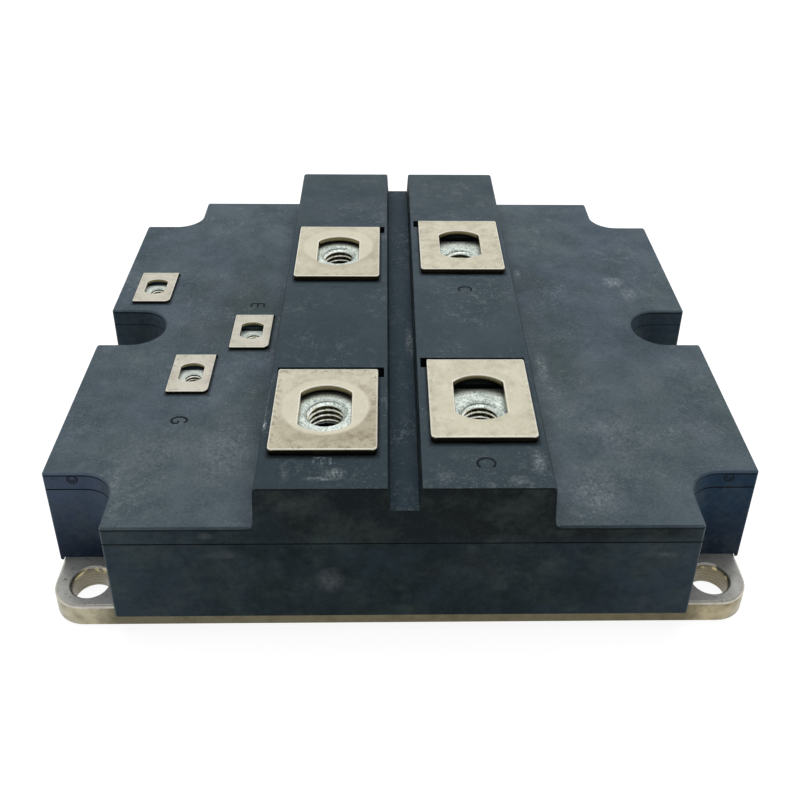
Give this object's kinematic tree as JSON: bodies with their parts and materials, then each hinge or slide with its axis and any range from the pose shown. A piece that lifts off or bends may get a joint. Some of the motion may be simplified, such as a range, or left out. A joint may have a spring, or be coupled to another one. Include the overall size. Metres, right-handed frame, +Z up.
{
  "type": "igbt module",
  "caption": "Power transistor module: dark moulded case with raised screw terminal blocks, small control terminals and a flat plated base with screw holes.",
  "frame": {"origin": "centre of the base plate's bottom face", "axes": "+X along the long side of the case toward the collector terminals, +Y along the short side toward the rear terminals, +Z up from the base"},
  "size_m": [0.14, 0.13, 0.0385],
  "materials": {
    "plated_base": "nickel plated, slightly stained",
    "case_plastic": "moulded, scuffed",
    "terminal_plating": "nickel plated copper, warm tint",
    "nut_zinc": "zinc plated",
    "ceramic": "fired ceramic",
    "copper": "bare copper",
    "solder": "dull",
    "silicon": "polished",
    "bond_metal": "bright",
    "board_green": "solder resist",
    "gel": "soft, translucent"
  },
  "bodies": {
    "root": {"base_plate": "plated_base", "case_frame": "case_plastic", "case_lid": "case_plastic", "emitter_terminal_front": "terminal_plating", "emitter_nut_front": "nut_zinc", "emitter_terminal_rear": "terminal_plating", "emitter_nut_rear": "nut_zinc", "collector_terminal_front": "terminal_plating", "collector_nut_front": "nut_zinc", "collector_terminal_rear": "terminal_plating", "collector_nut_rear": "nut_zinc", "gate_terminal": "terminal_plating", "gate_nut": "nut_zinc", "sense_emitter_terminal": "terminal_plating", "sense_emitter_nut": "nut_zinc", "sense_collector_terminal": "terminal_plating", "sense_collector_nut": "nut_zinc", "ceramic_front_left": "ceramic", "copper_front_left": "copper", "switch_chips_front_left": "silicon", "diode_chips_front_left": "silicon", "bond_ribbons_front_left": "bond_metal", "ceramic_front_right": "ceramic", "copper_front_right": "copper", "switch_chips_front_right": "silicon", "diode_chips_front_right": "silicon", "bond_ribbons_front_right": "bond_metal", "ceramic_rear_left": "ceramic", "copper_rear_left": "copper", "switch_chips_rear_left": "silicon", "diode_chips_rear_left": "silicon", "bond_ribbons_rear_left": "bond_metal", "ceramic_rear_right": "ceramic", "copper_rear_right": "copper", "switch_chips_rear_right": "silicon", "diode_chips_rear_right": "silicon", "bond_ribbons_rear_right": "bond_metal", "solder_layers": "solder", "gate_board": "board_green", "gate_pins": "terminal_plating", "insulating_gel": "gel"}
  },
  "joints": []
}
